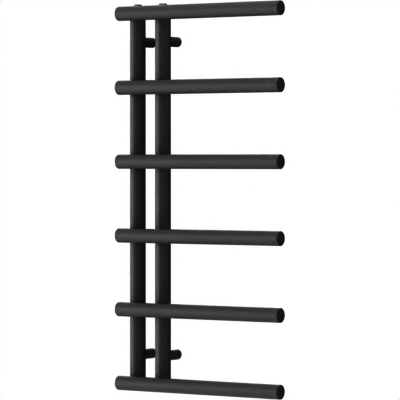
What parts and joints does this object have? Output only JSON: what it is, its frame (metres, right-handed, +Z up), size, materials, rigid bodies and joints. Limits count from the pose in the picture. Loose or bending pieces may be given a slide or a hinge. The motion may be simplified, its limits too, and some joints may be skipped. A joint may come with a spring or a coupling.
{
  "type": "towel warmer rack",
  "caption": "Wall-hung water-heated towel rack: round horizontal bars welded across two upright collectors set off-centre, held by sleeves on wall studs.",
  "frame": {"origin": "on the wall plane, midway between the four wall studs, at half the height of the rack", "axes": "+Z up, +Y into the wall, so the bars face -Y; +X to the right for someone facing the rack, towards the bars' long free ends"},
  "size_m": [0.5, 0.1182, 0.9922],
  "materials": {
    "black_powder_coat": "satin black powder coat on welded steel",
    "black_plug_coat": "satin black lacquer on turned brass",
    "white_nylon": "natural white nylon",
    "bare_steel": "bare drawn steel, hidden inside the bars",
    "zinc_plated_steel": "turned and bright zinc plated",
    "black_oxide_steel": "black oxide",
    "nickel_plated_brass": "nickel plated"
  },
  "bodies": {
    "wall_studs": {"upper_left_wall_stud": "zinc_plated_steel", "lower_left_wall_stud": "zinc_plated_steel", "upper_right_wall_stud": "zinc_plated_steel", "lower_right_wall_stud": "zinc_plated_steel"},
    "rack": {"bar_1_tube": "black_powder_coat", "bar_1_left_cap": "black_powder_coat", "bar_1_right_cap": "black_powder_coat", "bar_1_flow_guide": "bare_steel", "bar_2_tube": "black_powder_coat", "bar_2_left_cap": "black_powder_coat", "bar_2_right_cap": "black_powder_coat", "bar_2_flow_guide": "bare_steel", "bar_3_tube": "black_powder_coat", "bar_3_left_cap": "black_powder_coat", "bar_3_right_cap": "black_powder_coat", "bar_3_flow_guide": "bare_steel", "bar_4_tube": "black_powder_coat", "bar_4_left_cap": "black_powder_coat", "bar_4_right_cap": "black_powder_coat", "bar_4_flow_guide": "bare_steel", "bar_5_tube": "black_powder_coat", "bar_5_left_cap": "black_powder_coat", "bar_5_right_cap": "black_powder_coat", "bar_5_flow_guide": "bare_steel", "bar_6_tube": "black_powder_coat", "bar_6_left_cap": "black_powder_coat", "bar_6_right_cap": "black_powder_coat", "bar_6_flow_guide": "bare_steel", "left_collector_tube": "black_powder_coat", "left_collector_top_bush": "black_powder_coat", "left_collector_bottom_bush": "black_powder_coat", "left_plug_seal": "white_nylon", "right_collector_tube": "black_powder_coat", "right_collector_top_bush": "black_powder_coat", "right_collector_bottom_bush": "black_powder_coat", "right_plug_seal": "white_nylon", "blank_plug": "black_plug_coat", "air_vent_body": "black_plug_coat", "upper_left_sleeve": "black_powder_coat", "lower_left_sleeve": "black_powder_coat", "upper_right_sleeve": "black_powder_coat", "lower_right_sleeve": "black_powder_coat"},
    "upper_left_grub_screw": {"upper_left_grub_screw": "black_oxide_steel"},
    "lower_left_grub_screw": {"lower_left_grub_screw": "black_oxide_steel"},
    "upper_right_grub_screw": {"upper_right_grub_screw": "black_oxide_steel"},
    "lower_right_grub_screw": {"lower_right_grub_screw": "black_oxide_steel"},
    "bleed_screw": {"bleed_screw": "nickel_plated_brass"}
  },
  "joints": [
    {"name": "depth_slide", "type": "slide", "parent": "wall_studs", "child": "rack", "axis": [0, -1, 0], "range_m": [0, 0.015]},
    {"name": "upper_left_grub_screw_turn", "type": "hinge", "parent": "rack", "child": "upper_left_grub_screw", "pos_m": [-0.04, -0.014, 0.3922], "axis": [0, 0, -1], "range_deg": [0, 360]},
    {"name": "lower_left_grub_screw_turn", "type": "hinge", "parent": "rack", "child": "lower_left_grub_screw", "pos_m": [-0.04, -0.014, -0.4138], "axis": [0, 0, -1], "range_deg": [0, 360]},
    {"name": "upper_right_grub_screw_turn", "type": "hinge", "parent": "rack", "child": "upper_right_grub_screw", "pos_m": [0.04, -0.014, 0.3922], "axis": [0, 0, -1], "range_deg": [0, 360]},
    {"name": "lower_right_grub_screw_turn", "type": "hinge", "parent": "rack", "child": "lower_right_grub_screw", "pos_m": [0.04, -0.014, -0.4138], "axis": [0, 0, -1], "range_deg": [0, 360]},
    {"name": "bleed_screw_turn", "type": "hinge", "parent": "rack", "child": "bleed_screw", "pos_m": [0.04, -0.065, 0.495], "axis": [0, 0, 1], "range_deg": [0, 360]}
  ]
}
